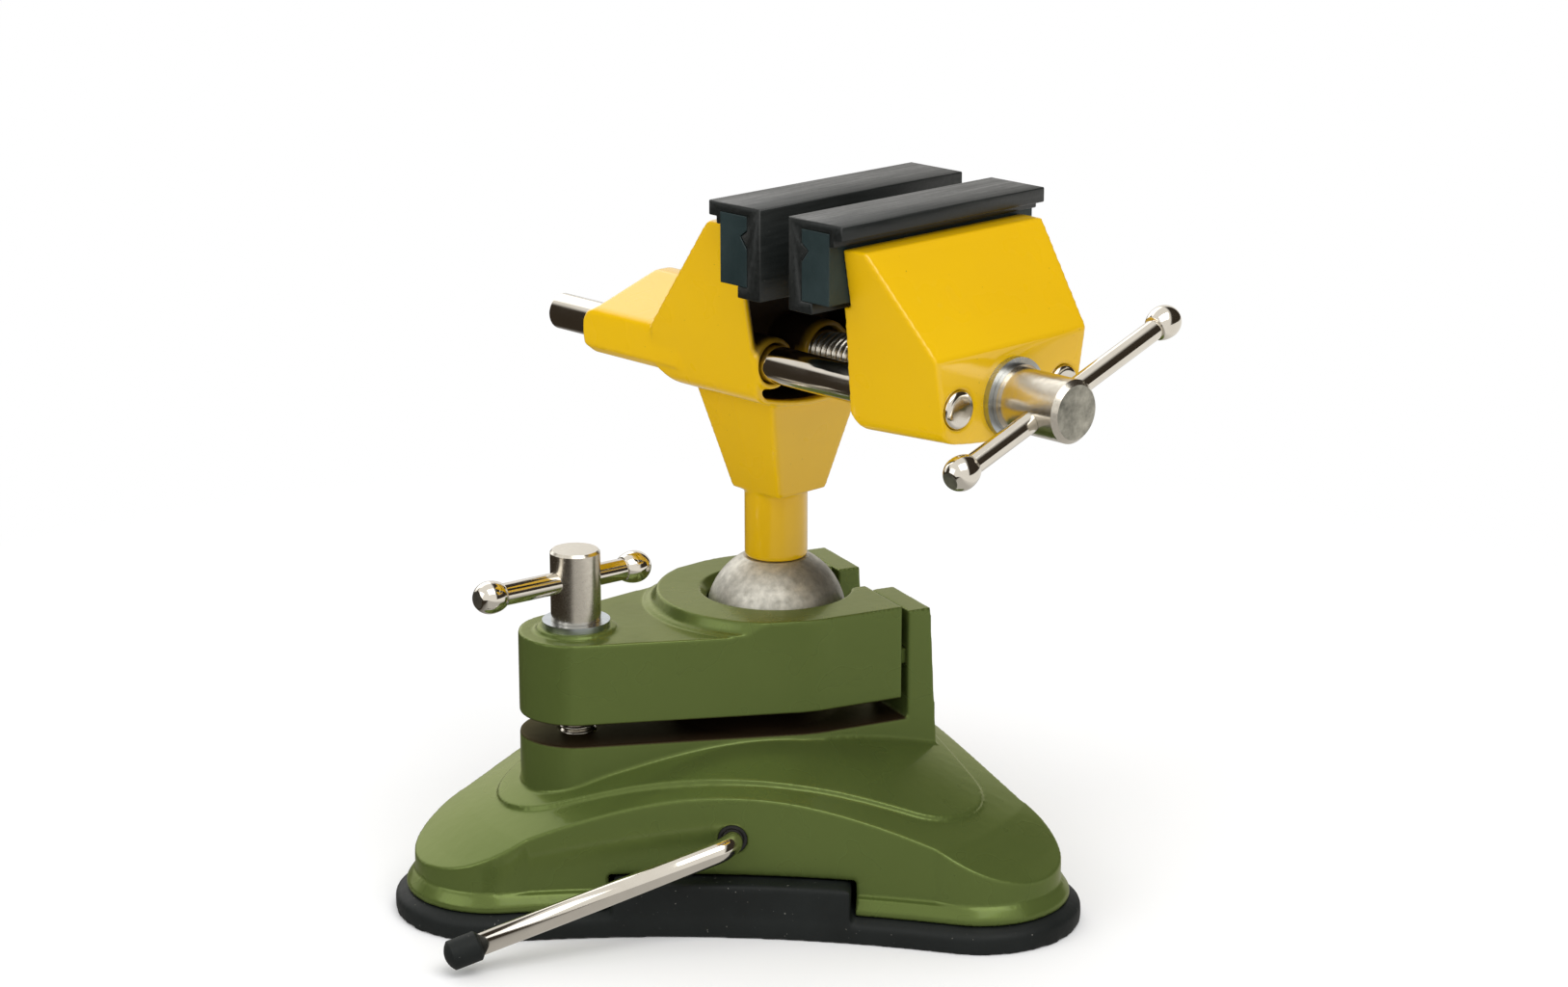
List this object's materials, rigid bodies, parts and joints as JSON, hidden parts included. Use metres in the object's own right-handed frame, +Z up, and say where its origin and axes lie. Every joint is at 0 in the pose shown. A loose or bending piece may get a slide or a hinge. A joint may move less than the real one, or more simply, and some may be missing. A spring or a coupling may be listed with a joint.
{
  "type": "bench vise",
  "caption": "Small bench vise with sliding jaws on a clamped ball joint, standing on a three-lobed suction foot with a lever.",
  "frame": {"origin": "on the bench plane, straight under the centre of the ball", "axes": "+X along the jaws, -Y from the fixed jaw to the spindle handle, +Z up"},
  "size_m": [0.1973, 0.1904, 0.1948],
  "materials": {
    "yellow_enamel": "glossy enamel",
    "green_enamel": "glossy enamel",
    "bright_steel": "bright plated",
    "plain_steel": "plain",
    "zinc_plate": "zinc plated",
    "bare_iron": "bare cast",
    "slate_metal": "dark coated",
    "black_cover": "moulded",
    "black_plastic": "moulded",
    "black_rubber": "moulded"
  },
  "bodies": {
    "base": {"base_casting": "green_enamel", "suction_pad": "black_rubber", "lever_bush": "black_plastic"},
    "lever": {"lever_rod": "bright_steel", "lever_tip": "black_rubber", "eccentric": "plain_steel"},
    "lift_yoke": {"lift_yoke": "plain_steel"},
    "clamp_jaw": {"clamp_jaw": "green_enamel"},
    "clamp_washer": {"clamp_washer": "zinc_plate"},
    "clamp_screw": {"clamp_screw": "bright_steel"},
    "clamp_bar": {"clamp_bar": "bright_steel", "clamp_bar_knobs": "bright_steel"},
    "ball_seat": {"ball_seat": "black_plastic"},
    "ball": {"ball": "bare_iron"},
    "head": {"fixed_jaw": "yellow_enamel", "ball_screw": "plain_steel", "jaw_bar_fixed": "slate_metal", "jaw_screws_fixed": "plain_steel", "jaw_cover_fixed": "black_cover"},
    "moving_jaw": {"moving_jaw": "yellow_enamel", "guide_rod_left": "bright_steel", "guide_rod_right": "bright_steel", "thrust_washer": "zinc_plate", "jaw_bar_moving": "slate_metal", "jaw_screws_moving": "plain_steel", "jaw_cover_moving": "black_cover"},
    "lead_screw": {"lead_screw": "bright_steel", "screw_clip": "plain_steel"},
    "screw_bar": {"screw_bar": "bright_steel", "screw_bar_knobs": "bright_steel"}
  },
  "joints": [
    {"name": "lever_turn", "type": "hinge", "parent": "base", "child": "lever", "pos_m": [-0.00858, 0.00272, 0.0256], "axis": [0.7385, 0.6743, 0], "range_deg": [0, 170]},
    {"name": "pad_lift", "type": "slide", "parent": "base", "child": "lift_yoke", "axis": [0, 0, 1], "range_m": [0, 0.00308]},
    {"name": "clamp_lift", "type": "hinge", "parent": "base", "child": "clamp_jaw", "pos_m": [0.02297, -0.00729, 0.064], "axis": [0.3024, 0.9532, 0], "range_deg": [0, 0.91]},
    {"name": "clamp_rise", "type": "slide", "parent": "base", "child": "clamp_washer", "axis": [0, 0, 1], "range_m": [0, 0.0015]},
    {"name": "clamp_turn", "type": "hinge", "parent": "clamp_washer", "child": "clamp_screw", "pos_m": [-0.05719, 0.01814, 0.088], "axis": [0, 0, 1], "range_deg": [0, 360.5]},
    {"name": "clamp_bar_slide", "type": "slide", "parent": "clamp_screw", "child": "clamp_bar", "axis": [0.9934, -0.1149, 0], "range_m": [-0.0082, 0.0162]},
    {"name": "ball_swivel", "type": "hinge", "parent": "base", "child": "ball_seat", "pos_m": [0, 0, 0.071], "axis": [0, 0, 1], "continuous": true},
    {"name": "ball_tilt", "type": "hinge", "parent": "ball_seat", "child": "ball", "pos_m": [0, 0, 0.071], "axis": [1, 0, 0], "range_deg": [-30, 30]},
    {"name": "ball_spin", "type": "hinge", "parent": "ball", "child": "head", "pos_m": [0, 0, 0.071], "axis": [0, 0, 1], "continuous": true},
    {"name": "jaw_slide", "type": "slide", "parent": "head", "child": "moving_jaw", "axis": [0, -1, 0], "range_m": [-0.0104, 0.0595]},
    {"name": "lead_screw_turn", "type": "hinge", "parent": "moving_jaw", "child": "lead_screw", "pos_m": [0, -0.1, 0.149], "axis": [0, -1, 0], "range_deg": [-1875, 10715]},
    {"name": "screw_bar_slide", "type": "slide", "parent": "lead_screw", "child": "screw_bar", "axis": [0.9455, 0, 0.3256], "range_m": [-0.0331, 0.0221]}
  ],
  "couplings": [
    {"joint": "lever_turn", "follows": "pad_lift", "rad_per_m": 961.54},
    {"joint": "clamp_turn", "follows": "clamp_rise", "rad_per_m": 4188.8},
    {"joint": "clamp_lift", "follows": "clamp_rise", "rad_per_m": 10.472},
    {"joint": "lead_screw_turn", "follows": "jaw_slide", "rad_per_m": 3141.6}
  ]
}
